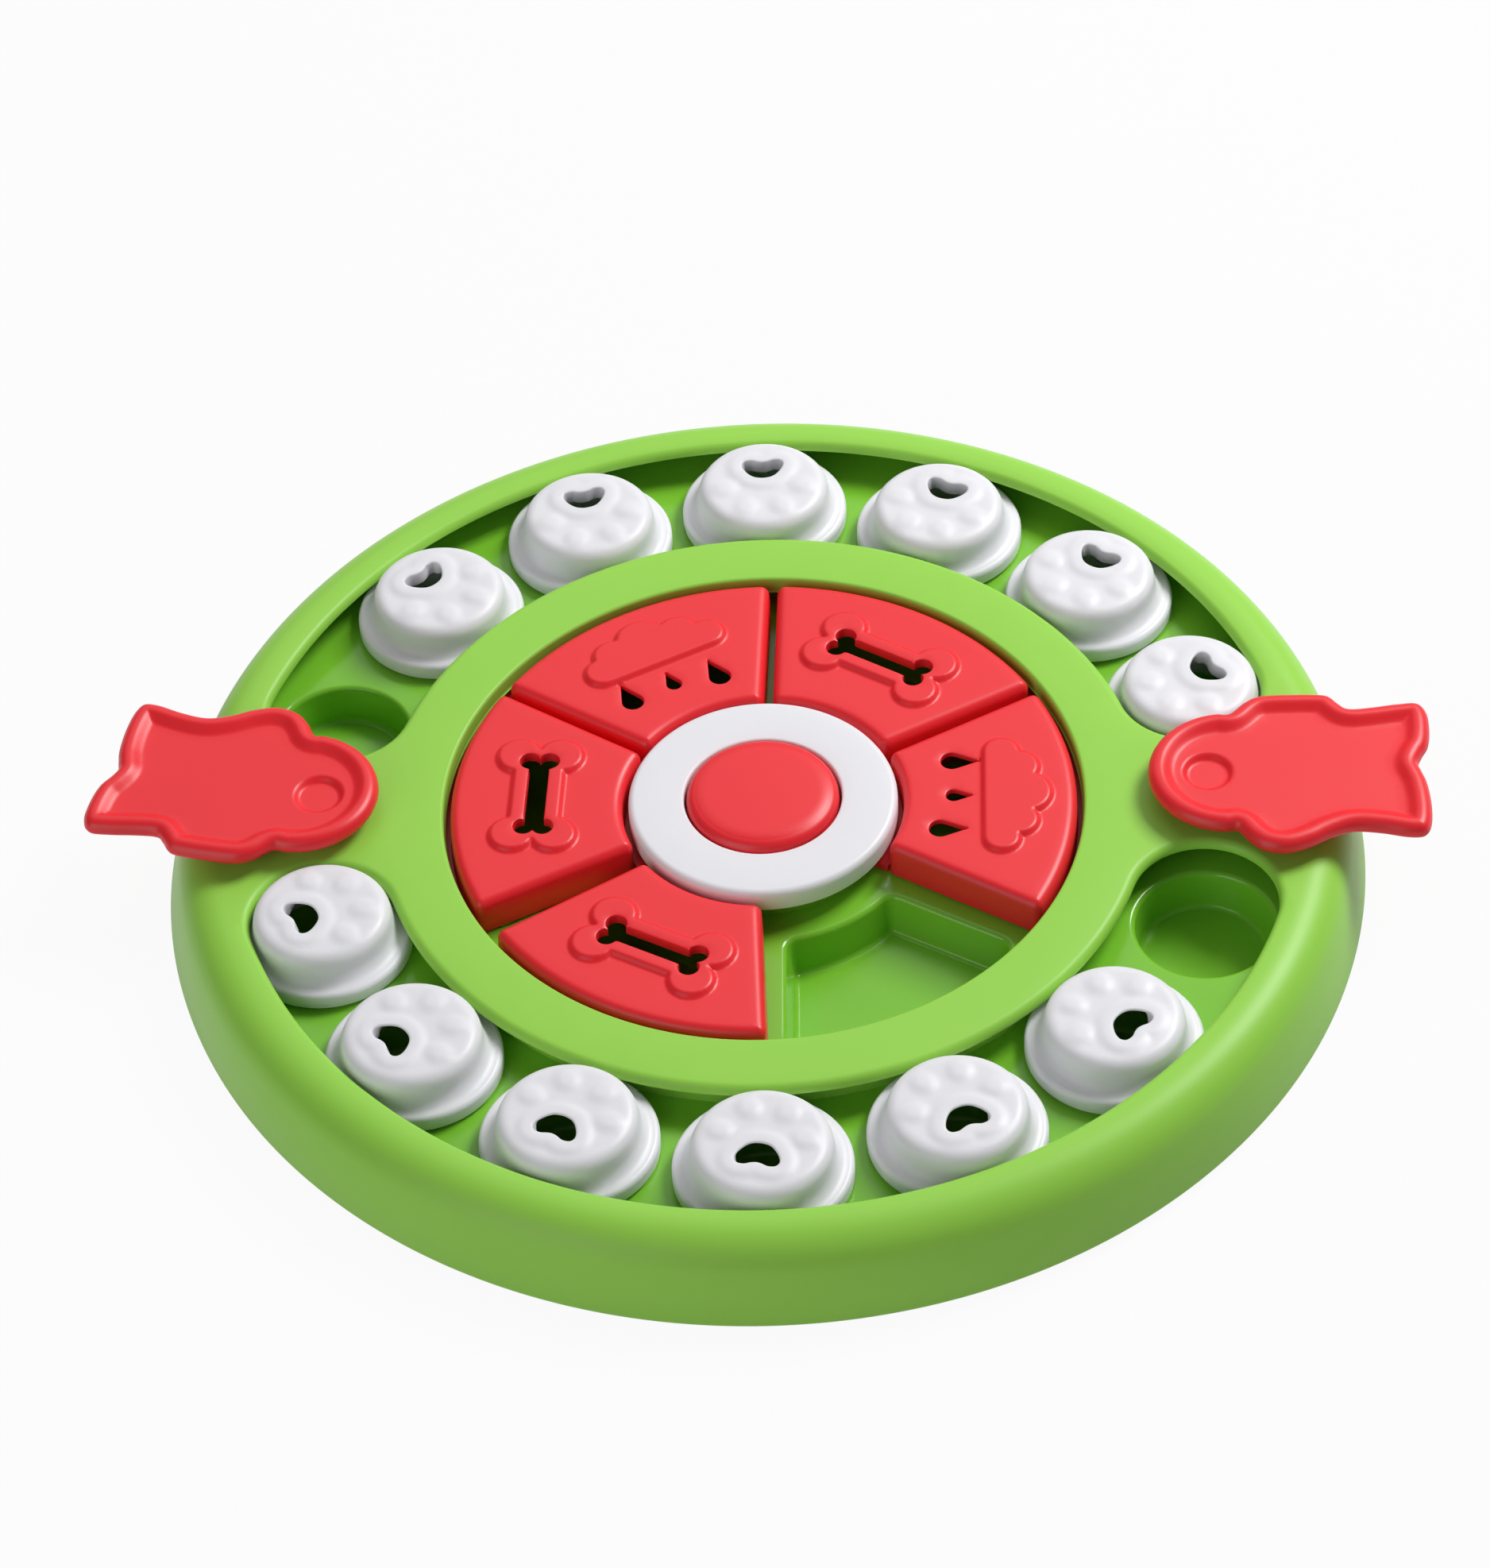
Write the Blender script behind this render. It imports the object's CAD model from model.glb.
"""Looks of a round treat puzzle: soft-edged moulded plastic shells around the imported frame."""
import math

import bmesh
import bpy
import numpy as np
from mathutils import Matrix, Vector
from mathutils.geometry import delaunay_2d_cdt


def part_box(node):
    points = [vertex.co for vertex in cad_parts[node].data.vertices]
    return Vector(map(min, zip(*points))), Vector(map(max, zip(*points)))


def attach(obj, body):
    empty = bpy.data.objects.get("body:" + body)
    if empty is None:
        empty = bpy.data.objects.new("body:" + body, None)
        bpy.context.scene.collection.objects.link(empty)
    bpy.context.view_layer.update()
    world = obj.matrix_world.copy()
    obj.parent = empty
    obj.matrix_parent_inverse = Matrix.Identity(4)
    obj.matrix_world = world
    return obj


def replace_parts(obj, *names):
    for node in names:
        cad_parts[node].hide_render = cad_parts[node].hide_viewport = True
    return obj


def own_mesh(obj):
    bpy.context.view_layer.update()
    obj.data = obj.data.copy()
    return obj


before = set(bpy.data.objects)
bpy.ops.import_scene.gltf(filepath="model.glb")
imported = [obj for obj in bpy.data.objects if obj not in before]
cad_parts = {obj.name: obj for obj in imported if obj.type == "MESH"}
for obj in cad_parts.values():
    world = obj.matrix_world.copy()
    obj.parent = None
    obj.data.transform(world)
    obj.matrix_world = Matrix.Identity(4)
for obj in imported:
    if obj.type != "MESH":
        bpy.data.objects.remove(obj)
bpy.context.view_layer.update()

MM = 0.001


def box_mm(node):
    """Lowest and highest corner of a CAD node, in millimetres."""
    return [np.array(corner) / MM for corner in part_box(node)]


# Meshes
SLIVER = 3e-6  # smallest triangle kept in a filled face, in square millimetres
TINY = 1e-6  # lengths up to this count as nothing
MERGE = 1e-7  # points up to this far apart become one, in metres
CREASE = math.radians(40)  # an edge that bends more than this looks sharp
GRID_ROW = 0.866  # distance between the rows of a sheet's grid, in grid steps
GRID_ROOM = 0.55  # room between the grid and the rings along an edge, in grid steps
RING_SLACK = 0.03  # a ring's point goes if an edge is nearer than its own by more than this, in millimetres
HULL_TRIANGLES = 0  # output type of delaunay_2d_cdt: triangles over the whole convex hull

# Heights in millimetres, most of them from the frame
TOP = box_mm("top_frame")[1][2]
FOOT = box_mm("top_frame")[0][2]
CUP_UNDER = box_mm("back_tray")[0][2]
WEB_UNDER = box_mm("hub_tray")[1][2]
GLIDE, PEG_TOP = box_mm("paw_peg_1")[0][2], box_mm("paw_peg_1")[1][2]
LID_HIGH = box_mm("bone_lid_1")[1][2]
RING_TOP = box_mm("center_ring")[1][2]
BUTTON_UNDER, BUTTON_TOP = box_mm("press_button")[0][2], box_mm("press_button")[1][2]
STUB_UNDER, FISH_TOP = box_mm("right_fish")[0][2], box_mm("right_fish")[1][2]
GLIDE_GAP = 0.2
DECK = GLIDE - GLIDE_GAP
DECK_T = 2.2
CUP_WALL = 1.4
FLOOR = CUP_UNDER + CUP_WALL
BRIM_GAP = 0.6
BRIM_TOP = WEB_UNDER - BRIM_GAP
EMBOSS = 0.8
LID_TOP = LID_HIGH - EMBOSS
FISH_T = 3.4
FISH_UNDER = FISH_TOP - FISH_T
BULB_STOP = 10.3

# Plan in millimetres and degrees
PLATE_R = box_mm("top_frame")[1][0]
BOSSES, BOSS_PLACE_R, BOSS_R = 8, 116.6, 2.8
CHANNEL_R = 95.0
SLOT_HALF = 15.0
SLOT_ROUND, SLOT_LIP, LIP_DEPTH = 1.9, 2.2, 3.4
ROW_SPAN, ROW_GAPS = 142.5, 6
BRIM_R, CAP_R, CAP_TOP_R = 18.0, 14.35, 14.2
PEG_WALL, PEG_ROOF_T = 2.0, 1.3
HUB_IN_R, HUB_EDGE = 66.5, 0.8
HUB_WALL_IN, HUB_WALL_OUT = 69.7, 76.2
DECK_R, HUB_TRAY_R, TRAY_GAP = box_mm("back_tray")[1][1], box_mm("hub_tray")[1][0], 0.3
WELL_R, WELL_TAPER = 14.2, 1.4
FAN_WELLS, FAN_HALF, FAN_TAPER = 6, 30, 2.0
LID_OUT_R, LID_IN_R = 65.1, 29.2
LID_SPLIT, LID_LAP, LID_ROUND = 2.4, 2.4, 2.2
LID_WALL, LID_ROOF_T, LID_BRIM_T = 2.2, 1.2, 1.6
FAN_BORDER, FAN_CORNER = 2.6, 3.6
MOUTH = 1.3
RING_R = box_mm("center_ring")[1][0]
TOWER_R, POCKET_R, BULB_POCKET_R = 24.8, 18.4, 14.4
BUTTON_R, FLANGE_R = 15.9, box_mm("press_button")[1][0]
PIVOT_R, PIVOT_HOLE_R, STUB_R, COLLAR_R = 92.0, 4.3, 4.0, 9.0
LEFT_TURN = -12.0
# Foot of a cup under a well: (distance out of its wall, height above its underside)
CUP_FOOT = [(-1.0, 0.8), (-1.2, 0.3), (-1.6, 0)]
LID_ANGLES = {
    "bone_lid_1": 58.4,
    "cloud_lid_1": 117.8,
    "bone_lid_2": 177.3,
    "bone_lid_3": 241.8,
    "cloud_lid_2": -1.2,
}
# Each paw is turned a little about its own middle, in degrees against the radial direction
PEG_TURNS = {f"paw_peg_{i}": turn for i, turn in enumerate(
    (14, 14, 0, 2, -12, -4, 10, -8, -2, -10, -2, -2), start=1)}


# Outlines: closed loops of points, anticlockwise, in millimetres

def arc(centre, radius, start, end, steps=8):
    """Points of an arc between two angles in degrees, both ends among them."""
    t = np.radians(np.linspace(start, end, steps + 1))
    return np.array(centre) + radius * np.stack([np.cos(t), np.sin(t)], -1)


def circle(radius, steps, centre=(0, 0)):
    """Points of a circle, none of them twice."""
    return arc(centre, radius, 0, 360, steps)[:-1]


def dense(loop, step):
    """The loop with points at most a step apart, and none twice."""
    out = []
    for a, b in zip(loop, np.roll(loop, -1, 0)):
        n = math.ceil(np.hypot(*(b - a)) / step - TINY)
        out += [a + (b - a) * k / n for k in range(n)]
    return np.array(out)


def spline(points, steps=6):
    """Closed smooth curve through points."""
    p = np.array(points, float)
    before, after, beyond = np.roll(p, 1, 0), np.roll(p, -1, 0), np.roll(p, -2, 0)
    t = np.arange(steps)[None, :, None] / steps
    curve = (2 * p[:, None] + (after - before)[:, None] * t
             + (2 * before - 5 * p + 4 * after - beyond)[:, None] * t ** 2
             + (3 * p - before - 3 * after + beyond)[:, None] * t ** 3) / 2
    return curve.reshape(-1, 2)


def turned(loop, degrees):
    """The loop turned anticlockwise about the middle."""
    a = math.radians(degrees)
    return loop @ np.array([[math.cos(a), math.sin(a)], [-math.sin(a), math.cos(a)]])


def outward(loop):
    """Unit normals of a loop, pointing out of it."""
    along = np.roll(loop, -1, 0) - np.roll(loop, 1, 0)
    along /= np.linalg.norm(along, axis=1)[:, None]
    return np.stack([along[:, 1], -along[:, 0]], -1)


def signed(points, loop):
    """Distance of each point from a loop, positive inside it."""
    nearest = np.full(len(points), np.inf)
    odd = np.zeros(len(points), bool)
    for p, q in zip(loop, np.roll(loop, -1, 0)):
        d = q - p
        rel = points - p
        t = np.clip(rel @ d / (d @ d), 0, 1)
        nearest = np.minimum(nearest, ((rel - t[:, None] * d) ** 2).sum(1))
        if d[1]:
            level = (p[1] > points[:, 1]) != (q[1] > points[:, 1])
            odd ^= level & (rel[:, 0] < rel[:, 1] * d[0] / d[1])
    return np.where(odd, 1, -1) * np.sqrt(nearest)


def smooth(x, low, high):
    """Soft step from 0 at low to 1 at high."""
    t = np.clip((x - low) / (high - low), 0, 1)
    return t * t * (3 - 2 * t)


def dropped(gap, radius):
    """How far a rounded edge lies below its face, at a distance inwards from its side."""
    g = radius - np.clip(gap, 0, radius)
    return radius - np.sqrt(radius * radius - g * g)


def edge_rings(radius, steps=5):
    """Distances inwards at which a rounded edge is sampled."""
    return [radius * (1 - math.cos(math.pi / 2 * k / steps)) for k in range(1, steps + 1)]


class Shell:
    """A mesh in millimetres, made of rings, the bands between them and filled faces."""

    def __init__(self):
        self.verts = []
        self.faces = []

    def add(self, points, z):
        """New points at one height or at a height each. Returns their numbers."""
        first = len(self.verts)
        heights = np.broadcast_to(z, len(points))
        self.verts += [(p[0], p[1], h) for p, h in zip(points, heights)]
        return list(range(first, len(self.verts)))

    def band(self, a, b):
        """Faces between two rings of as many points."""
        n = len(a)
        self.faces += [(a[i], a[(i + 1) % n], b[(i + 1) % n], b[i]) for i in range(n)]

    def wall(self, start, loop, profile):
        """Rings from an edge on: each step of the profile is (distance out of the loop, height)."""
        out = outward(loop)
        last = start
        for reach, z in profile:
            ring = self.add(loop + out * reach, z)
            self.band(last, ring)
            last = ring
        return last

    def fill(self, loops, points=(), heights=()):
        """Triangles between closed rings, through free points in between."""
        ids = [i for loop in loops for i in loop]
        ids += self.add(points, heights) if len(points) else []
        flat = [Vector(self.verts[i][:2]) for i in ids]
        edges, first = [], 0
        for loop in loops:
            n = len(loop)
            edges += [(first + k, first + (k + 1) % n) for k in range(n)]
            first += n
        places, _, faces, origins, *_ = delaunay_2d_cdt(flat, edges, [], HULL_TRIANGLES, TINY)
        source = [ids[o[0]] if o else None for o in origins]
        corners = np.array([[places[k] for k in f] for f in faces])
        ab, ac = corners[:, 1] - corners[:, 0], corners[:, 2] - corners[:, 0]
        area = np.abs(ab[:, 0] * ac[:, 1] - ab[:, 1] * ac[:, 0]) / 2
        depth = np.zeros(len(corners), int)
        for loop in loops:
            depth += signed(corners.mean(1), np.array([self.verts[i][:2] for i in loop])) > 0
        inside = (depth == 1) & (area > SLIVER)
        self.faces += [tuple(source[k] for k in f) for f, keep in zip(faces, inside) if keep]

    def sheet(self, loops, height, rings, step, fine=None, fine_step=0.5):
        """Top face between an outline and holes. Returns the edge of each loop."""
        def gaps(points):
            return np.array([signed(points, loop) * (1 if i == 0 else -1) for i, loop in enumerate(loops)])

        free = []
        for i, loop in enumerate(loops):
            for d in rings[i]:
                q = loop - outward(loop) * d * (1 if i == 0 else -1)
                free.append(q[gaps(q).min(0) > d - RING_SLACK])
        low, high = loops[0].min(0), loops[0].max(0)
        for size, keep_fine in ((step, False), (fine_step, True)):
            if keep_fine and fine is None:
                continue
            xs, ys = np.meshgrid(np.arange(low[0], high[0], size),
                                 np.arange(low[1], high[1], size * GRID_ROW))
            xs[1::2] += size / 2
            grid = np.stack([xs.ravel(), ys.ravel()], -1)
            if fine is not None:
                grid = grid[fine(grid) == keep_fine]
            room = [(ring[-1] if ring else 0) + size * GRID_ROOM for ring in rings]
            clear = [gap > need for gap, need in zip(gaps(grid), room)]
            free.append(grid[np.all(clear, 0)])
        free = np.concatenate(free)
        edges = [self.add(loop, height(loop, gaps(loop))) for loop in loops]
        self.fill(edges, free, height(free, gaps(free)))
        return edges

    def lathe(self, profile, steps, centre=(0, 0)):
        """A closed profile of (radius, height) turned about an upright axis."""
        rings = [self.add(circle(r, steps, centre) if r > 0 else [centre], z) for r, z in profile]
        for a, b in zip(rings, rings[1:] + rings[:1]):
            if len(a) > 1 and len(b) > 1:
                self.band(a, b)
            elif len(a) > 1 or len(b) > 1:
                ring, tip = (a, b[0]) if len(a) > 1 else (b, a[0])
                self.faces += [(ring[i], ring[(i + 1) % steps], tip) for i in range(steps)]

    def piece(self, name, body, material, slot, place=Matrix()):
        """A Blender object of this shell that rides on a body."""
        mesh = bpy.data.meshes.new(name)
        mesh.from_pydata([tuple(place @ (Vector(v) * MM)) for v in self.verts], [], self.faces)
        bm = bmesh.new()
        bm.from_mesh(mesh)
        bmesh.ops.remove_doubles(bm, verts=bm.verts, dist=MERGE)
        bmesh.ops.recalc_face_normals(bm, faces=bm.faces)
        for f in bm.faces:
            f.smooth = True
        for e in bm.edges:
            e.smooth = e.calc_face_angle(0) < CREASE
        bm.to_mesh(mesh)
        bm.free()
        mesh.materials.append(material)
        obj = bpy.data.objects.new(name, mesh)
        bpy.context.collection.objects.link(obj)
        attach(obj, body)
        return obj


# Materials

FLOW_SCALE, FLOW_DETAIL, GLOSS_SPREAD = 22, 4, 0.05
SKIN_DETAIL, SKIN_DEPTH = 2, 0.3
PLASTIC_IOR = 1.49


def socket(node, name):
    return next(s for s in node.inputs if s.name == name and s.enabled)


def shader_of(material):
    return material.node_tree.nodes["Principled BSDF"]


def plastic(name, light, dark, rough, grain=0.0006, bump=0.06, specular=0.5):
    """Moulded plastic: faint flow marks in colour and gloss, and a fine skin texture."""
    mat = bpy.data.materials.new(name)
    mat.use_nodes = True
    nodes, links = mat.node_tree.nodes, mat.node_tree.links
    shader = shader_of(mat)
    coords = nodes.new("ShaderNodeTexCoord")
    flow = nodes.new("ShaderNodeTexNoise")
    flow.inputs["Scale"].default_value = FLOW_SCALE
    flow.inputs["Detail"].default_value = FLOW_DETAIL
    links.new(coords.outputs["Object"], flow.inputs["Vector"])
    tint = nodes.new("ShaderNodeMix")
    tint.data_type = "RGBA"
    socket(tint, "A").default_value = (*light, 1)
    socket(tint, "B").default_value = (*dark, 1)
    links.new(flow.outputs["Fac"], socket(tint, "Factor"))
    links.new(next(o for o in tint.outputs if o.enabled), shader.inputs["Base Color"])
    gloss = nodes.new("ShaderNodeMapRange")
    gloss.inputs["To Min"].default_value = rough - GLOSS_SPREAD
    gloss.inputs["To Max"].default_value = rough + GLOSS_SPREAD
    links.new(flow.outputs["Fac"], gloss.inputs["Value"])
    links.new(gloss.outputs["Result"], shader.inputs["Roughness"])
    skin = nodes.new("ShaderNodeTexNoise")
    skin.inputs["Scale"].default_value = 1 / grain
    skin.inputs["Detail"].default_value = SKIN_DETAIL
    links.new(coords.outputs["Object"], skin.inputs["Vector"])
    relief = nodes.new("ShaderNodeBump")
    relief.inputs["Strength"].default_value = bump
    relief.inputs["Distance"].default_value = grain * SKIN_DEPTH
    links.new(skin.outputs["Fac"], relief.inputs["Height"])
    links.new(relief.outputs["Normal"], shader.inputs["Normal"])
    shader.inputs["IOR"].default_value = PLASTIC_IOR
    shader.inputs["Specular IOR Level"].default_value = specular
    return mat


def milky(name, light, dark, rough):
    """White plastic that lets a little light in under its skin."""
    mat = plastic(name, light, dark, rough)
    shader_of(mat).inputs["Subsurface Weight"].default_value = 0.3
    shader_of(mat).inputs["Subsurface Radius"].default_value = (0.003, 0.003, 0.003)
    shader_of(mat).inputs["Subsurface Scale"].default_value = 1
    return mat


def steel(name):
    """Zinc-plated steel with fine turned marks."""
    mat = plastic(name, (0.58, 0.58, 0.6), (0.44, 0.44, 0.46), 0.32, grain=0.0004, bump=0.2)
    shader_of(mat).inputs["Metallic"].default_value = 1
    return mat


GREEN = plastic("green_plastic", (0.325, 0.680, 0.082), (0.300, 0.650, 0.072), 0.40, specular=0.32)
TRAY_GREEN = plastic("green_tray", (0.215, 0.560, 0.036), (0.195, 0.530, 0.030), 0.18)
RED = plastic("red_plastic", (0.890, 0.022, 0.032), (0.855, 0.018, 0.027), 0.38)
WHITE = milky("white_plastic", (0.825, 0.820, 0.860), (0.805, 0.800, 0.840), 0.42)
RUBBER = plastic("soft_rubber", (0.032, 0.032, 0.034), (0.022, 0.022, 0.024), 0.7, grain=0.0004, bump=0.25)
STEEL = steel("screw_steel")


# Upper moulding

def slot_loop(half):
    """Curved slot with round ends about the +Y direction."""
    start, end = 90 - ROW_SPAN / 2, 90 + ROW_SPAN / 2
    first, last = arc((0, 0), CHANNEL_R, start, end, 1)
    return np.concatenate([
        arc((0, 0), CHANNEL_R + half, start, end, 110),
        arc(last, half, end, end + 180, 32)[1:-1],
        arc((0, 0), CHANNEL_R - half, end, start, 90),
        arc(first, half, start - 180, start, 32)[1:-1],
    ])


def top_frame():
    """A sheet with the hub's opening and two slots, a leaning rim, and a wall and bosses under it."""
    draft = math.radians(15)
    wall, shoulder_r, web_blend = 2.4, 9.0, 1.5
    lip_chamfer, bore_chamfer = 0.2, 0.3
    foot_z, shoulder_z = FOOT + wall / 2, TOP - shoulder_r
    run = shoulder_z + shoulder_r * math.sin(draft) - foot_z
    flat_r = PLATE_R - shoulder_r * math.cos(draft) - run * math.tan(draft)

    def inner_r(z):
        return PLATE_R - (z - foot_z) * math.tan(draft) - wall / math.cos(draft)

    rim = circle(flat_r, 300)
    hub = circle(HUB_IN_R, 200)
    slot = slot_loop(SLOT_HALF)
    pivots = [circle(PIVOT_HOLE_R, 32, (s * PIVOT_R, 0)) for s in (1, -1)]
    loops = [rim, hub, slot, -slot, *pivots]
    rounds = [0, HUB_EDGE, SLOT_ROUND, SLOT_ROUND, 0, 0]

    def height(points, gaps):
        return TOP - sum(dropped(g, r) for g, r in zip(gaps, rounds) if r)

    shell = Shell()
    edges = shell.sheet(loops, height, [edge_rings(r, 6) if r else [] for r in rounds], 5)
    shoulder = [(shoulder_r * math.cos(t), shoulder_z + shoulder_r * math.sin(t))
                for t in np.linspace(math.pi / 2, draft, 13)[1:]]
    foot = [(PLATE_R - wall / 2 - flat_r + wall / 2 * math.cos(t), foot_z + wall / 2 * math.sin(t))
            for t in np.linspace(0, -math.pi / 2, 6)]
    blend_z = WEB_UNDER - web_blend
    inside = [(inner_r(FOOT) - flat_r, FOOT), (inner_r(blend_z) - flat_r, blend_z),
              (inner_r(blend_z) - web_blend - flat_r, WEB_UNDER)]
    ends = [shell.wall(edges[0], rim, shoulder + foot + inside)]
    lip_z = TOP - SLOT_LIP
    lip = [(0, lip_z + lip_chamfer), (lip_chamfer, lip_z), (LIP_DEPTH, lip_z), (LIP_DEPTH, WEB_UNDER)]
    bore = [(0, WEB_UNDER + bore_chamfer), (-bore_chamfer, WEB_UNDER)]
    for edge, loop, steps in zip(edges[1:], loops[1:], (bore, lip, lip, bore, bore)):
        ends.append(shell.wall(edge, loop, steps))
    shell.fill(ends)
    shell.lathe([(HUB_WALL_IN, DECK), (HUB_WALL_OUT, DECK),
                 (HUB_WALL_OUT, WEB_UNDER), (HUB_WALL_IN, WEB_UNDER)], 200)
    for k in range(BOSSES):
        a = math.radians(360 / BOSSES * (k + 0.5))
        shell.lathe([(0, DECK), (BOSS_R, DECK), (BOSS_R, WEB_UNDER), (0, WEB_UNDER)], 24,
                    (BOSS_PLACE_R * math.cos(a), BOSS_PLACE_R * math.sin(a)))
    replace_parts(shell.piece("frame_shell", "base", GREEN, "green_plastic"), "top_frame")


# Lower moulding

def fan_loop(out_r, in_r, inset, corner):
    """Sector of one lid's angle about +X, with its sides set in and its corners rounded."""
    side = inset + corner
    square = FAN_HALF + 90
    outer = FAN_HALF - math.degrees(math.asin(side / (out_r - corner)))
    inner = FAN_HALF - math.degrees(math.asin(side / (in_r + corner)))
    out_centre = arc((0, 0), out_r - corner, outer, outer, 1)[0]
    in_centre = arc((0, 0), in_r + corner, inner, inner, 1)[0]
    upper = np.concatenate([
        arc((0, 0), out_r, 0, outer, 24)[:-1],
        arc(out_centre, corner, outer, square, 8),
        np.linspace(out_centre, in_centre, 26)[1:-1] + arc((0, 0), corner, square, square, 1)[0],
        arc(in_centre, corner, square, inner + 180, 8),
        arc((0, 0), in_r, inner, 0, 12)[1:],
    ])
    return np.concatenate([upper, (upper[1:-1] * (1, -1))[::-1]])


def well_profile(narrowing, floor_round=1.2):
    """Inside of a well: rounded mouth, leaning wall and a fillet at the floor."""
    lip = [(-MOUTH * math.sin(t), DECK - MOUTH * (1 - math.cos(t)))
           for t in np.linspace(0, math.pi / 2, 6)[1:]]
    lean = narrowing / (DECK - FLOOR)
    foot_z = FLOOR + floor_round
    foot = -MOUTH - lean * (DECK - MOUTH - foot_z)
    fillet = [(foot - floor_round * (1 - math.cos(t)), foot_z - floor_round * math.sin(t))
              for t in np.linspace(0, math.pi / 2, 7)]
    return lip + fillet


def tray(name, node, outline, mouths, narrowing, tower=None):
    """A deck with wells in it and cups under it, and a tower in the middle of the hub's."""
    shell = Shell()
    loops = [outline, *mouths] + ([] if tower is None else [tower])
    edges = shell.sheet(loops, lambda p, g: np.full(len(p), DECK), [[] for _ in loops], 6)
    for edge, loop in zip(edges[1:], mouths):
        shell.fill([shell.wall(edge, loop, well_profile(narrowing))])
    cups = [(CUP_WALL - MOUTH, loop) for loop in mouths]
    if tower is not None:
        pocket, bulb_pocket = POCKET_R - TOWER_R, BULB_POCKET_R - TOWER_R
        steps = [(0, WEB_UNDER), (pocket, WEB_UNDER), (pocket, BULB_STOP),
                 (bulb_pocket, BULB_STOP), (bulb_pocket, FLOOR)]
        shell.fill([shell.wall(edges[-1], tower, steps)])
        cups.append((BULB_POCKET_R + CUP_WALL - TOWER_R, tower))
    under = [shell.wall(edges[0], outline, [(0, DECK - DECK_T)])]
    for out, loop in cups:
        cup = loop + outward(loop) * out
        top = shell.add(cup, DECK - DECK_T)
        under.append(top)
        foot = shell.wall(top, cup, [(reach, CUP_UNDER + rise) for reach, rise in CUP_FOOT])
        shell.fill([foot])
    shell.fill(under)
    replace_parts(shell.piece(name, "base", TRAY_GREEN, "green_plastic"), node)


def trays():
    """The hub's tray with fan wells, and two half rings round it with round wells."""
    mouth_share = 0.4
    fan = fan_loop(LID_OUT_R - FAN_BORDER, LID_IN_R + FAN_BORDER, LID_SPLIT / 2 + FAN_BORDER, FAN_CORNER)
    fan = fan + outward(fan) * MOUTH * mouth_share
    fans = [turned(fan, 2 * FAN_HALF * k) for k in range(FAN_WELLS)]
    tray("hub_tray_shell", "hub_tray", circle(HUB_TRAY_R, 200), fans, FAN_TAPER, circle(TOWER_R, 96))
    inner = HUB_TRAY_R + TRAY_GAP
    seam = math.degrees(math.asin(TRAY_GAP / 2 / inner))
    half = np.concatenate([arc((0, 0), DECK_R, seam, 180 - seam, 130),
                           arc((0, 0), inner, 180 - seam, seam, 90)])
    for name, turn in (("back_tray", 0), ("front_tray", 180)):
        places = arc((0, 0), CHANNEL_R, turn + 90 - ROW_SPAN / 2, turn + 90 + ROW_SPAN / 2, ROW_GAPS)
        rounds = [circle(WELL_R + MOUTH, 72, place) for place in places]
        tray(f"{name}_shell", name, turned(half, turn), rounds, WELL_TAPER)


# Pegs

def pad_loop():
    """Half-moon hole of a paw's main pad, with its crown along -X and a shallow notch along +X."""
    side = [(2.1, 1.1), (2.6, 2.5), (2.3, 4.0), (1.0, 4.5), (-0.9, 3.7), (-2.6, 2.1)]
    other = [(x, -y) for x, y in side[::-1]]
    return spline([(1.9, 0), *side, (-3.1, 0), *other])


def peg_shell():
    """A hollow cap with soft toes, a raised pad round a sleeved hole, and a brim."""
    edge, lip, pad_x, relief = 2.7, 0.4, 4.2, 0.55
    pad_flat, pad_end = 1.8, 4.2
    toe_step = 54
    toe_angles = [180 + toe_step * k for k in (-1.5, -0.5, 0.5, 1.5)]
    toe_reach, toe_long, toe_wide, toe_flat = 8.7, 4.0, 3.5, 0.25
    cap = circle(CAP_TOP_R, 72)
    hole = dense(pad_loop(), 0.7) + (pad_x, 0)

    def height(points, gaps):
        z = PEG_TOP - relief - dropped(gaps[0], edge) - dropped(gaps[1], lip)
        z = z + relief * (1 - smooth(gaps[1], pad_flat, pad_end))
        for angle in toe_angles:
            along, across = turned(points, -angle).T
            spread = np.hypot((along - toe_reach) / toe_long, across / toe_wide)
            z = z + relief * (1 - smooth(spread, toe_flat, 1))
        return z

    shell = Shell()
    edges = shell.sheet([cap, hole], height, [edge_rings(edge, 6), edge_rings(lip, 3)], 0.7)
    roof = PEG_TOP - relief - PEG_ROOF_T
    side = [(r - CAP_TOP_R, z) for r, z in peg_side(roof)]
    last = shell.wall(edges[0], cap, side)
    shell.fill([last, peg_sleeve(shell, edges[1], hole, pad_x, roof)])
    return shell


def peg_side(roof):
    """Profile (radius, height) from a cap's wall by a flare to its brim and back up inside to its roof."""
    blend, blend_h, brim_round, chamfer, corner = 2.5, 3.2, 1.2, 0.5, 1
    hollow = CAP_R - PEG_WALL
    flare = [(CAP_R + blend + blend * math.cos(t), BRIM_TOP + blend_h + blend_h * math.sin(t))
             for t in np.linspace(math.pi, 1.5 * math.pi, 8)]
    brim_in, brim_z = BRIM_R - brim_round, BRIM_TOP - brim_round
    brim = [(brim_in + brim_round * math.cos(t), brim_z + brim_round * math.sin(t))
            for t in np.linspace(math.pi / 2, 0, 8)]
    below = [(BRIM_R, GLIDE + chamfer), (BRIM_R - chamfer, GLIDE), (hollow, GLIDE),
             (hollow, roof - corner), (hollow - corner, roof)]
    return flare + brim + below


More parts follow.
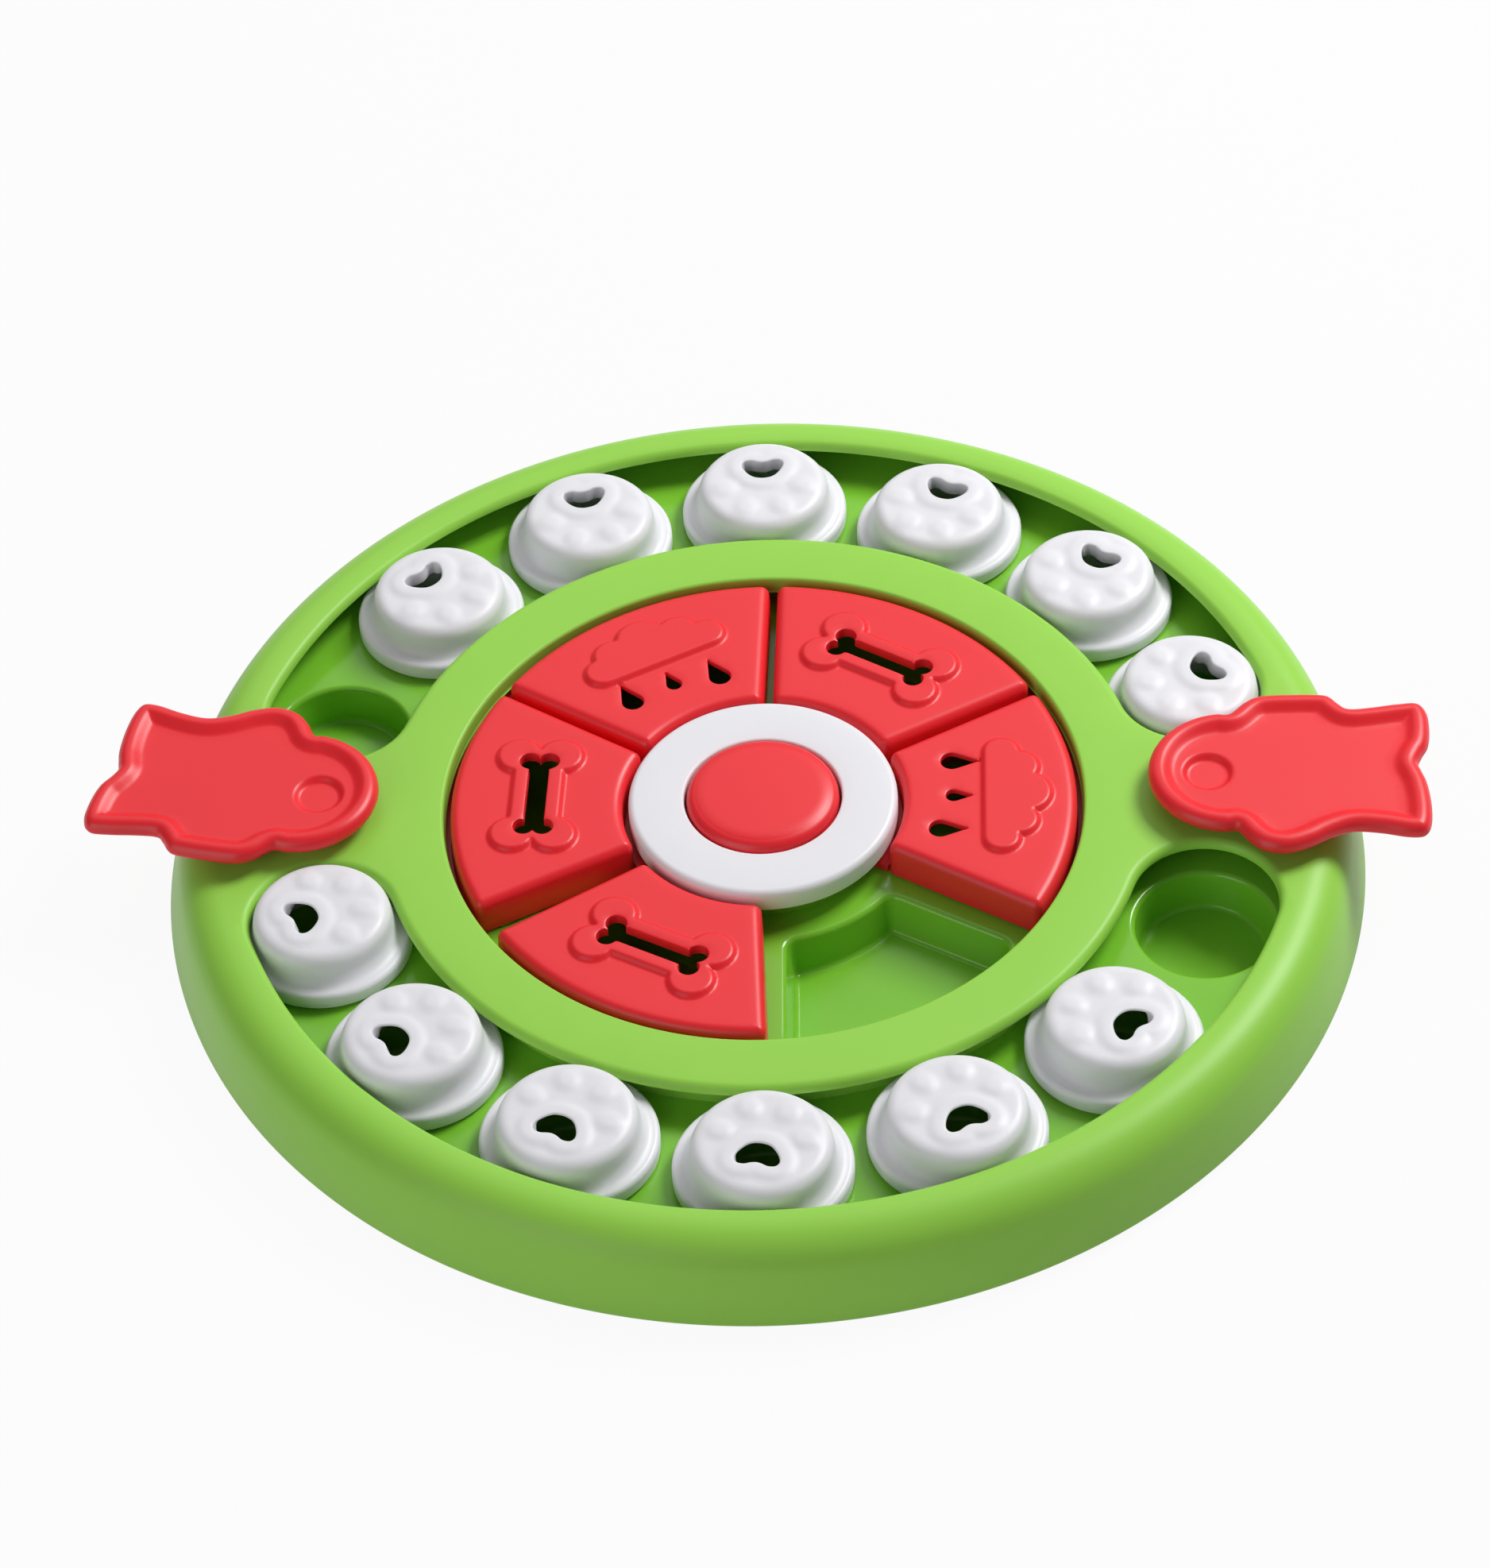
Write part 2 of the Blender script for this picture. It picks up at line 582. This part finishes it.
def peg_sleeve(shell, edge, hole, pad_x, roof):
    """Short sleeve at the outer side of a peg's hole, which flares at the inner side. Returns its top."""
    sleeve_t, sleeve_depth, flare_w, lean = 1.0, 0.9, 1.7, 0.5
    side_from, side_to = -0.5, 1.2
    outer_side = smooth(hole[:, 0] - pad_x, side_from, side_to)
    sleeve_z = roof - sleeve_depth * outer_side
    within = hole + outward(hole) * (flare_w * (1 - outer_side) - lean * outer_side)[:, None]
    around = within + outward(hole) * sleeve_t
    rings = [edge, shell.add(within, sleeve_z), shell.add(around, sleeve_z), shell.add(around, roof)]
    for a, b in zip(rings, rings[1:]):
        shell.band(a, b)
    return rings[-1]


def pegs():
    """A cap on each peg's body, at the peg's place and with its own turn."""
    shell = peg_shell()
    for node, own_turn in PEG_TURNS.items():
        low, high = box_mm(node)
        middle = (low + high) / 2
        turn = math.atan2(middle[1], middle[0]) + math.radians(own_turn)
        place = Matrix.Translation((middle[0] * MM, middle[1] * MM, 0)) @ Matrix.Rotation(turn, 4, "Z")
        obj = shell.piece(f"{node}_cap", node, WHITE, "white_plastic", place)
        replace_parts(obj, node)


# Fan lids

def bone_loop(length, bar_w, knob_r):
    """A bar along Y with two knobs at each end."""
    knob_spread = 0.92
    x, y = knob_r * knob_spread, length / 2 - knob_r
    side = -math.degrees(math.acos((bar_w / 2 - x) / knob_r))
    notch = math.degrees(math.acos(-x / knob_r))
    upper = arc((x, y), knob_r, side, notch, 14)
    right = np.concatenate([(upper * (1, -1))[::-1], upper])
    return np.concatenate([right, -right])


def cloud_loop():
    """A cloud with its flat side at x = 0 and its puffs along +X."""
    puffs = [((3.8, -12.4), 3.8), ((7, -7.2), 4.4), ((8.4, 0.6), 5.8), ((7, 8), 4.6), ((3.8, 12.4), 3.8)]
    meets = []
    for (a, ra), (b, rb) in zip(puffs, puffs[1:]):
        a, b = np.array(a), np.array(b)
        span = np.hypot(*(b - a))
        along = (span * span + ra * ra - rb * rb) / (2 * span)
        across = math.sqrt(ra * ra - along * along)
        u = (b - a) / span
        meets.append(a + u * along + np.array([u[1], -u[0]]) * across)
    ends = [np.array((0, puffs[0][0][1])), *meets, np.array((0, puffs[-1][0][1]))]
    out = []
    for (centre, r), p, q in zip(puffs, ends, ends[1:]):
        start, end = [math.degrees(math.atan2(*(v - centre)[::-1])) for v in (p, q)]
        # The first puff starts at the flat side, at 180 degrees, and turns anticlockwise from there
        start = start - 360 if start > 170 else start
        out.append(arc(centre, r, start, end if end > start else end + 360, 12))
    return dense(np.concatenate(out), 1)


def drop_loop(r):
    """A drop about its round end, with its tip along +X."""
    tip = 2.5 * r
    touch = math.degrees(math.acos(r / tip))
    return np.concatenate([arc((0, 0), r, touch, 360 - touch, 14), [(tip, 0)]])


def lid_shell(picture, holes):
    """Fan-shaped cover with soft edges, a raised picture, holes and brims at both arcs."""
    corner, inner_corner, lip, relief = 1.8, 0.8, 0.45, 1.1
    slope_out, slope_in, fine_w = -0.8, 0.7, 1.3
    step, fine_step = 1.6, 0.42
    foot_out, foot_h = 0.15, 0.3
    brim_room, brim_corner = 0.2, 0.3
    fan = fan_loop(LID_OUT_R, LID_IN_R, LID_SPLIT / 2, corner)
    inside = fan_loop(LID_OUT_R - LID_WALL, LID_IN_R + LID_WALL, LID_SPLIT / 2 + LID_WALL, inner_corner)

    def height(points, gaps):
        raised = relief * smooth(signed(points, picture), slope_out, slope_in)
        edge = dropped(gaps[0], LID_ROUND)
        return LID_TOP + raised - edge - sum(dropped(g, lip) for g in gaps[1:])

    def fine(points):
        return np.abs(signed(points, picture)) < fine_w

    shell = Shell()
    rings = [edge_rings(LID_ROUND, 6)] + [edge_rings(lip, 2) for _ in holes]
    edges = shell.sheet([fan, *holes], height, rings, step, fine, fine_step)
    roof = LID_TOP - LID_ROOF_T
    foot = shell.wall(edges[0], fan, [(foot_out, GLIDE + foot_h), (-foot_out, GLIDE)])
    ceiling = [shell.wall(foot, inside, [(0, GLIDE), (0, roof)])]
    ceiling += [shell.wall(e, h, [(0, roof)]) for e, h in zip(edges[1:], holes)]
    shell.fill(ceiling)
    inner_brim = (RING_R - LID_LAP, LID_IN_R - brim_room)
    outer_brim = (LID_OUT_R + brim_room, HUB_IN_R + LID_LAP)
    for r0, r1 in (inner_brim, outer_brim):
        bar = fan_loop(r1, r0, LID_SPLIT / 2 + brim_room, brim_corner)
        low, high = shell.add(bar, GLIDE), shell.add(bar, GLIDE + LID_BRIM_T)
        shell.band(low, high)
        shell.fill([low])
        shell.fill([high])
    return shell


def lids():
    """Bone and cloud covers, each turned to its place round the middle. Drops are (x, y, radius)."""
    mid = (LID_OUT_R - FAN_BORDER + LID_IN_R + FAN_BORDER) / 2
    cloud_back, drops_back = 1.5, 8
    drop_places = ((0, 10.5, 2.3), (0.4, 0.5, 1.6), (-2.4, -9, 2.3))
    bone = dense(bone_loop(length=32, bar_w=10.5, knob_r=4.7), 1) + (mid, 0)
    slot = dense(bone_loop(length=23.2, bar_w=4.2, knob_r=2.15), 0.8) + (mid, 0)
    cloud = cloud_loop() + (mid - cloud_back, 0)
    drops = [dense(drop_loop(r), 0.8) + (mid - drops_back + x, y) for x, y, r in drop_places]
    shells = {"bone": lid_shell(bone, [slot]), "cloud": lid_shell(cloud, drops)}
    for node, angle in LID_ANGLES.items():
        place = Matrix.Rotation(math.radians(angle), 4, "Z")
        obj = shells[node.split("_")[0]].piece(f"{node}_cover", node, RED, "red_plastic", place)
        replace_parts(obj, node)


# Fish

def fish_loop():
    """Outline about the eye, with the tail along +X, a humped fin along -Y and a flat one along +Y."""
    head = arc((4.1, 0), 16.4, 86, 274, 24)
    hump = [(7.4, -19.4), (10.4, -22.0), (15.0, -22.9), (20.0, -21.3), (24.4, -18.8),
            (29.0, -17.3), (34.5, -17.9)]
    tail = [(40.0, -19.2), (43.4, -18.9), (44.8, -16.0), (45.2, -10.6), (44.8, -5.0),
            (43.9, -1.4), (43.4, 0.6), (44.3, 3.0), (45.8, 6.0), (46.5, 10.6),
            (46.3, 15.4), (44.4, 18.0), (40.0, 17.9)]
    flat = [(34.4, 17.1), (30.2, 16.9), (28.3, 18.5), (26.2, 20.8), (22.6, 21.4),
            (18.6, 21.5), (14.6, 21.5), (11.2, 21.1), (8.4, 19.5)]
    return dense(spline([*head, *hump, *tail, *flat]), 0.9)


def fish_shell():
    """Flat fish with a round raised border and a sunk eye, on a collar and a pivot stub."""
    loop = fish_loop()
    crest, dish, inner = 2.4, 1.6, 5.6
    eye_r, eye_slope, eye_depth, eye_fine_w = 4.7, 0.8, 1.2, 1.6
    ring_step, rings_past, step, fine_step = 0.4, 0.3, 1.6, 0.5
    collar_lap, collar_gap = 0.3, 0.3
    under_edge = [(0, 0.9), (-0.25, 0.3), (-0.9, 0)]

    def height(points, gaps):
        gap = gaps[0]
        z = FISH_TOP - dropped(gap, crest) - dish * smooth(gap, crest, inner)
        return z - eye_depth * smooth(eye_r - np.hypot(*points.T), -eye_slope, eye_slope)

    def fine(points):
        return np.abs(np.hypot(*points.T) - eye_r) < eye_fine_w

    shell = Shell()
    slope_rings = list(np.arange(crest + ring_step, inner + rings_past, ring_step))
    edges = shell.sheet([loop], height, [edge_rings(crest, 6) + slope_rings], step, fine, fine_step)
    shell.fill([shell.wall(edges[0], loop, [(reach, FISH_UNDER + rise) for reach, rise in under_edge])])
    collar_z, stub_z = FISH_UNDER + collar_lap, TOP + collar_gap
    shell.lathe([(0, collar_z), (COLLAR_R, collar_z), (COLLAR_R, stub_z), (STUB_R, stub_z),
                 (STUB_R, STUB_UNDER), (0, STUB_UNDER)], 48)
    return shell


def fish():
    """The two fish, each about its own pivot."""
    shell = fish_shell()
    for side, x, turn in (("right", PIVOT_R, 0), ("left", -PIVOT_R, 180 + LEFT_TURN)):
        place = Matrix.Translation((x * MM, 0, 0)) @ Matrix.Rotation(math.radians(turn), 4, "Z")
        obj = shell.piece(f"{side}_fish_skin", f"fish_{side}", RED, "red_plastic", place)
        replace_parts(obj, f"{side}_fish")


# Middle

def rounded_corner(r, z, radius, start, end, steps=8):
    """Profile points of a rounded corner about a centre."""
    return [tuple(p) for p in arc((r, z), radius, start, end, steps)]


def middle_ring():
    """White ring with rounded edges, round the button."""
    edge, bore_edge, bore_room = 1.5, 0.6, 0.5
    bore = BUTTON_R + bore_room
    shell = Shell()
    shell.lathe([(bore, WEB_UNDER), (RING_R, WEB_UNDER)]
                + rounded_corner(RING_R - edge, RING_TOP - edge, edge, 0, 90)
                + rounded_corner(bore + bore_edge, RING_TOP - bore_edge, bore_edge, 90, 180), 160)
    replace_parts(shell.piece("ring_face", "base", WHITE, "white_plastic"), "center_ring")


def button():
    """Domed cap, hollow below, with a flange that the ring keeps in."""
    crown, rim, rim_sweep, wall = 0.6, 2.4, 82, 2.0
    brow = BUTTON_TOP - crown
    dome = [(r, BUTTON_TOP - crown * (r / BUTTON_R) ** 2) for r in np.linspace(BUTTON_R - rim, 0, 8)]
    flange_top = WEB_UNDER - GLIDE_GAP
    shell = Shell()
    shell.lathe([(0, brow - wall), (BUTTON_R - wall, brow - wall), (BUTTON_R - wall, BUTTON_UNDER),
                 (FLANGE_R, BUTTON_UNDER), (FLANGE_R, flange_top), (BUTTON_R, flange_top)]
                + rounded_corner(BUTTON_R - rim, brow - rim, rim, 0, rim_sweep) + dome, 128)
    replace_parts(shell.piece("button_cap", "button", RED, "red_plastic"), "press_button")


def bulb():
    """Hollow squeaker with folds and an air hole, which flattens as the button above it goes down."""
    low, high = box_mm("squeaker_bulb")
    radius, under, top = high[0], low[2], high[2]
    folds, fold_depth, wall, air_r, travel = 3, 2.0, 1.2, 2.0, 3.5
    t = np.linspace(0, 1, 8 * folds + 1)
    waist = radius - fold_depth * (1 + np.cos(2 * math.pi * folds * t)) / 2
    outer = list(zip(waist, under + (top - under) * t))
    inner = list(zip(waist - wall, under + wall + (top - under - 2 * wall) * t))
    shell = Shell()
    shell.lathe([(air_r, under), *outer, (0, top),
                 (0, top - wall), *inner[::-1], (air_r, under + wall)], 72)
    obj = shell.piece("squeaker_skin", "base", RUBBER, "soft_rubber")
    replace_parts(obj, "squeaker_bulb")
    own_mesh(obj)


def keep_cad(node, material):
    """A CAD node that stays in view, with its finish."""
    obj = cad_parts[node]
    obj.data.materials.clear()
    obj.data.materials.append(material)


# Stage, in metres

def math_node(tree, operation, first, second=None):
    """Output of a maths node on one or two linked values."""
    node = tree.nodes.new("ShaderNodeMath")
    node.operation = operation
    tree.links.new(first, node.inputs[0])
    if second is not None:
        tree.links.new(second, node.inputs[1])
    return node.outputs[0]


def paper():
    """Pale matt floor that takes shadows and is lifted towards white where it is seen."""
    grey, rough, lift = (0.62, 0.62, 0.62, 1), 0.9, 0.94
    mat = bpy.data.materials.new("floor_paper")
    mat.use_nodes = True
    tree = mat.node_tree
    shader = shader_of(mat)
    shader.inputs["Base Color"].default_value = grey
    shader.inputs["Roughness"].default_value = rough
    glow = tree.nodes.new("ShaderNodeEmission")
    path = tree.nodes.new("ShaderNodeLightPath").outputs
    seen = math_node(tree, "MAXIMUM", path["Is Camera Ray"], path["Is Glossy Ray"])
    seen = math_node(tree, "MAXIMUM", seen, path["Is Transmission Ray"])
    weight = math_node(tree, "MULTIPLY", seen)
    weight.node.inputs[1].default_value = lift
    mix = tree.nodes.new("ShaderNodeMixShader")
    tree.links.new(weight, mix.inputs["Fac"])
    tree.links.new(shader.outputs["BSDF"], mix.inputs[1])
    tree.links.new(glow.outputs["Emission"], mix.inputs[2])
    tree.links.new(mix.outputs["Shader"], tree.nodes["Material Output"].inputs["Surface"])
    return mat


def floor_plane():
    """Large floor, a hair below the feet."""
    half, z = 4.0, -0.0001
    corners = [(-half, -half, z), (half, -half, z), (half, half, z), (-half, half, z)]
    mesh = bpy.data.meshes.new("floor")
    mesh.from_pydata(corners, [], [(0, 1, 2, 3)])
    mesh.materials.append(paper())
    floor = bpy.data.objects.new("floor", mesh)
    bpy.context.collection.objects.link(floor)


def lights():
    """A dim white world and three soft lamps that face the plate: (place, size, watts)."""
    world_strength = 0.13
    lamps = {
        "key": ((0.72, 0.58, 0.98), 0.5, 14.9),
        "back": ((0, 1.0, 1.11), 1.7, 7.3),
        "fill": ((-0.75, -1.0, 0.48), 1.0, 5.4),
    }
    world = bpy.data.worlds.new("studio")
    world.use_nodes = True
    background = world.node_tree.nodes["Background"]
    background.inputs["Color"].default_value = (1, 1, 1, 1)
    background.inputs["Strength"].default_value = world_strength
    bpy.context.scene.world = world
    for name, (place, size, power) in lamps.items():
        light = bpy.data.lights.new(name, "AREA")
        light.size = size
        light.energy = power
        lamp = bpy.data.objects.new(name, light)
        lamp.location = place
        lamp.rotation_mode = "QUATERNION"
        lamp.rotation_quaternion = (-Vector(place)).to_track_quat("-Z", "Y")
        bpy.context.collection.objects.link(lamp)


def swung(a, b, angle):
    """Two square directions, turned by an angle in their plane, from a towards b."""
    return math.cos(angle) * a + math.sin(angle) * b, math.cos(angle) * b - math.sin(angle) * a


def camera():
    """The photograph's view, fitted to the circles of the plate, in millimetres and degrees."""
    image_w, focal_px, sensor_w = 1876, 6848, 36
    distance, elevation, azimuth = 1128.1, 45.59, -87.7
    yaw, pitch, roll = [math.radians(a) for a in (-0.180, 0.168, -3.097)]
    el, az = math.radians(elevation), math.radians(azimuth)
    back = np.array([math.cos(el) * math.cos(az), math.cos(el) * math.sin(az), math.sin(el)])
    place = Vector((0, 0, TOP * MM)) + Vector(back * distance * MM)
    ahead, right = -back, np.array([-math.sin(az), math.cos(az), 0])
    up = np.cross(right, ahead)
    ahead, right = swung(ahead, right, yaw)
    ahead, up = swung(ahead, up, pitch)
    right, up = swung(right, up, roll)
    data = bpy.data.cameras.new("view")
    data.sensor_fit = "HORIZONTAL"
    data.sensor_width = sensor_w
    data.lens = focal_px / image_w * sensor_w
    cam = bpy.data.objects.new("view", data)
    turn = Matrix([[right[i], up[i], -ahead[i]] for i in range(3)]).to_4x4()
    cam.matrix_world = Matrix.Translation(place) @ turn
    bpy.context.collection.objects.link(cam)
    bpy.context.scene.camera = cam


camera()
floor_plane()
lights()
top_frame()
trays()
pegs()
lids()
fish()
middle_ring()
button()
bulb()
for node in ("rim_screws", "hub_screws", "ring_screws", "right_fish_screw", "left_fish_screw"):
    keep_cad(node, STEEL)
keep_cad("rubber_feet", RUBBER)
bpy.context.scene.view_settings.view_transform = "Standard"
